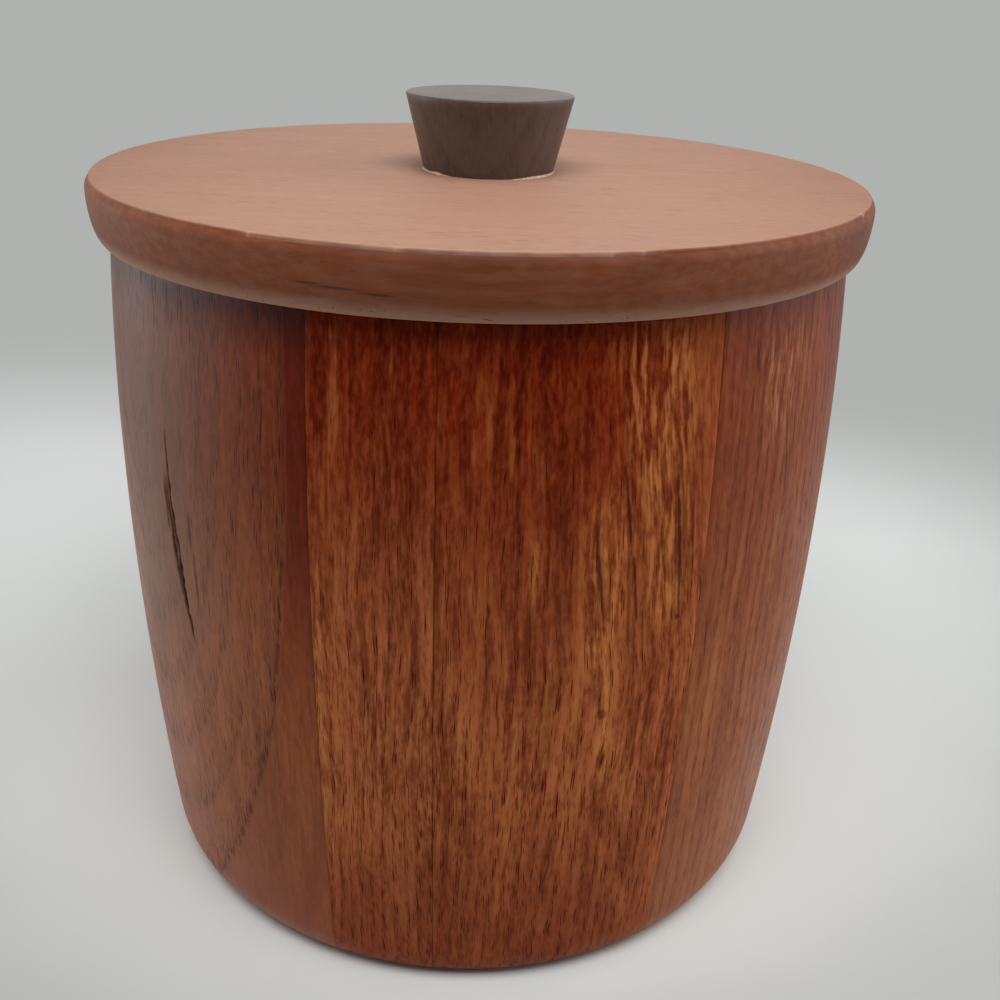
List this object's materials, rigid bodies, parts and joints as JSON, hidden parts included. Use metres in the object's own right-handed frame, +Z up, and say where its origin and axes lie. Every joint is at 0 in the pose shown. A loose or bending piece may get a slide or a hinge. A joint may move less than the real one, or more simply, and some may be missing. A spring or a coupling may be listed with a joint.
{
  "type": "lidded canister",
  "caption": "Round coopered wooden canister with a bellied wall, a recessed base and a lift-off lid with a tapered knob.",
  "frame": {"origin": "centre of the foot, on the surface that the canister stands on", "axes": "+Z up along the axis of the canister, -Y towards the front of the picture"},
  "size_m": [0.18, 0.18, 0.1902],
  "materials": {
    "stave_teak": "satin oiled teak",
    "inner_teak": "matt oiled teak",
    "lid_teak": "satin oiled teak",
    "knob_wood": "satin dark wood",
    "dowel_wood": "bare pale wood",
    "glue": "dried wood glue"
  },
  "bodies": {
    "canister": {"stave_1": "stave_teak", "stave_2": "stave_teak", "stave_3": "stave_teak", "stave_4": "stave_teak", "stave_5": "stave_teak", "stave_6": "stave_teak", "stave_7": "stave_teak", "stave_8": "stave_teak", "stave_9": "stave_teak", "base_panel": "inner_teak"},
    "lid": {"lid_board": "lid_teak", "lid_plug": "inner_teak", "knob": "knob_wood", "knob_dowel": "dowel_wood", "knob_glue_bead": "glue"}
  },
  "joints": [
    {"name": "lid_lift", "type": "slide", "parent": "canister", "child": "lid", "axis": [0, 0, 1], "range_m": [0, 0.08]}
  ]
}
